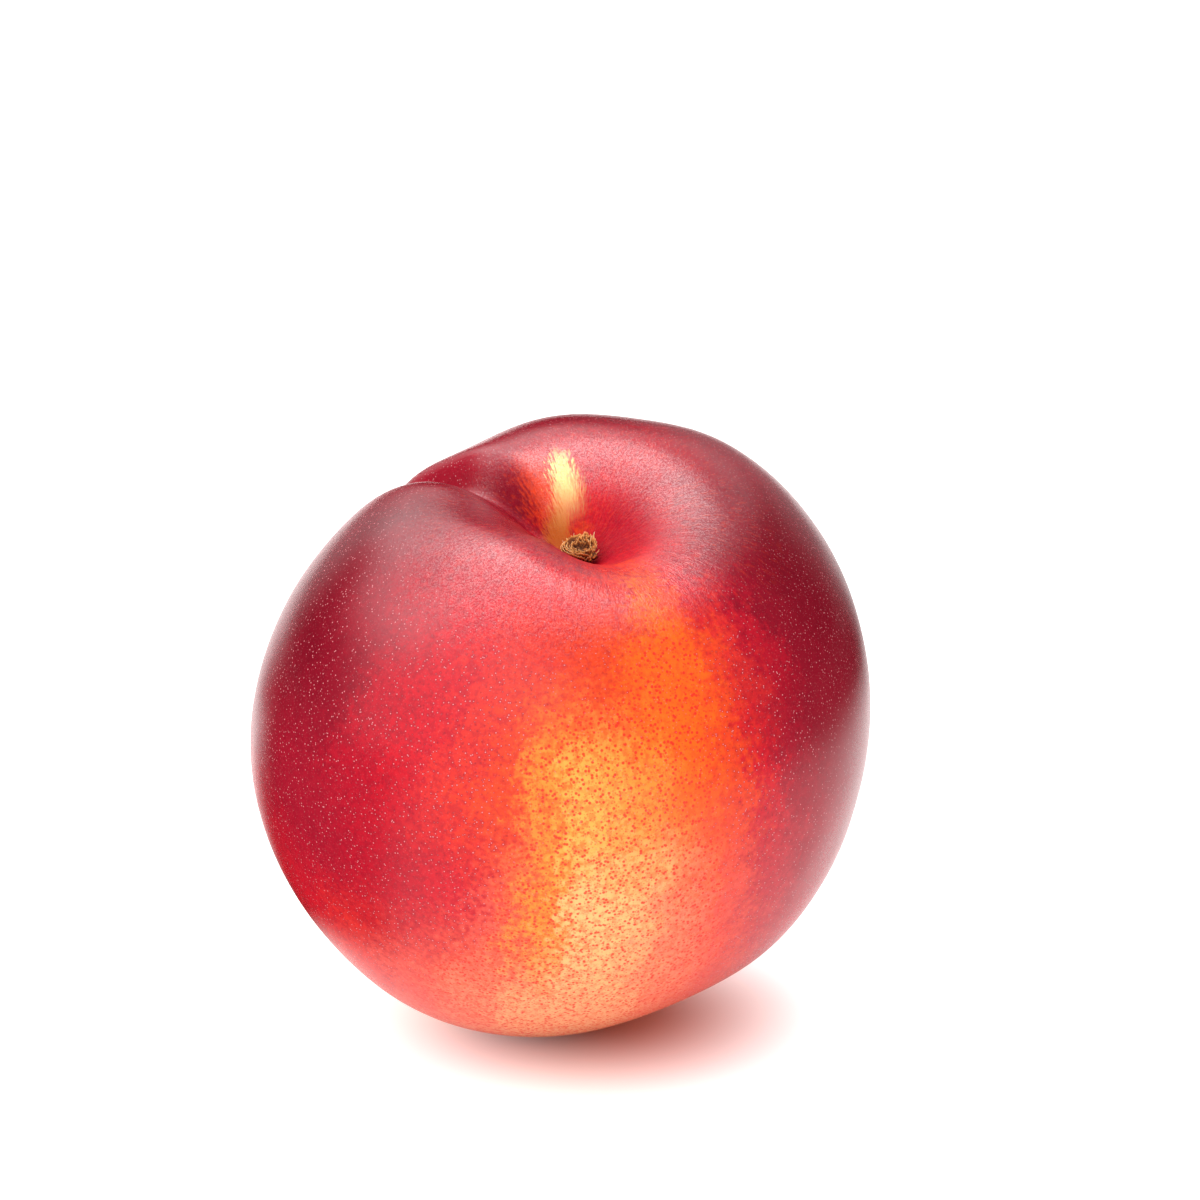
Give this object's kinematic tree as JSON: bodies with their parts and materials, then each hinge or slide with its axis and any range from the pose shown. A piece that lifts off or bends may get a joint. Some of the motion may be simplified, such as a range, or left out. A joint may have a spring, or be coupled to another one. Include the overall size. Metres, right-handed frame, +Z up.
{
  "type": "nectarine",
  "caption": "Whole ripe nectarine, leaning on a small flat spot, with a deep stem cavity, a suture groove and a dry torn stalk end.",
  "frame": {"origin": "on the surface that the fruit stands on, under the middle of its bounding box", "axes": "+Z up, out of the surface that it rests on; -Y towards the side that the stem cavity leans to; +X to the right of a viewer on the -Y side"},
  "size_m": [0.0696, 0.0716, 0.0685],
  "materials": {
    "nectarine_skin": "smooth satin fruit skin, crimson to red with an orange and yellow patch, fine pale dots",
    "dry_stalk": "dry, torn, fibrous, matt"
  },
  "bodies": {
    "root": {"fruit": "nectarine_skin", "stalk_stub": "dry_stalk"}
  },
  "joints": []
}
